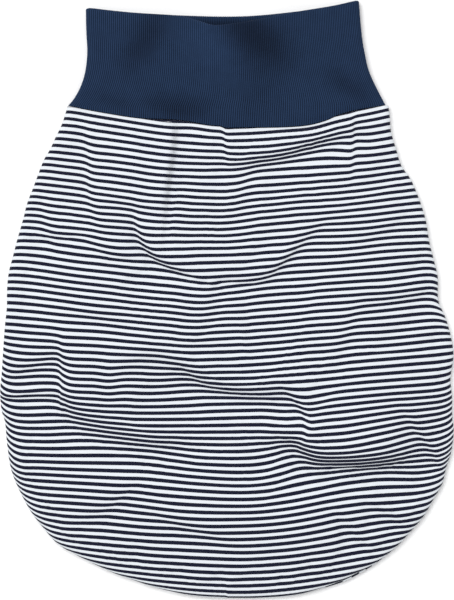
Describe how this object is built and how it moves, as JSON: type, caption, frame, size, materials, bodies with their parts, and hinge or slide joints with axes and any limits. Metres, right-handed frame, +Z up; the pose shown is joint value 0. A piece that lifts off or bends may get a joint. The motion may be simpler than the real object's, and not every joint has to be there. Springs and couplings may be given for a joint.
{
  "type": "baby sleeping bag",
  "caption": "Baby sleeping bag lying flat on its back: striped jersey bag with a rounded foot, plain lining and a deep ribbed waistband whose front lifts to open the mouth.",
  "frame": {"origin": "on the surface that the bag lies on, under the middle of its outline", "axes": "+Z up through the bag's thickness, +Y from the rounded foot to the mouth, +X to the right seen from above"},
  "size_m": [0.363, 0.4763, 0.0221],
  "materials": {
    "striped_jersey": "single jersey knit, narrow navy and white stripes",
    "plain_jersey": "single jersey knit, plain off-white",
    "navy_rib": "fine rib knit, navy",
    "white_thread": "overlock thread, white",
    "satin_label": "woven satin, blank"
  },
  "bodies": {
    "bag": {"shell_front": "striped_jersey", "shell_back": "striped_jersey", "lining_front": "plain_jersey", "lining_back": "plain_jersey", "waistband_back": "navy_rib", "shell_side_seam": "white_thread", "lining_side_seam": "white_thread", "waist_seam_front": "white_thread", "waist_seam_back": "white_thread", "waistband_side_seam_left": "white_thread", "waistband_side_seam_right": "white_thread", "care_label": "satin_label"},
    "band_front": {"waistband_front": "navy_rib"}
  },
  "joints": [
    {"name": "mouth_open", "type": "hinge", "parent": "bag", "child": "band_front", "pos_m": [0, 0.139, 0.0153], "axis": [1, 0, 0], "range_deg": [0, 35]}
  ]
}
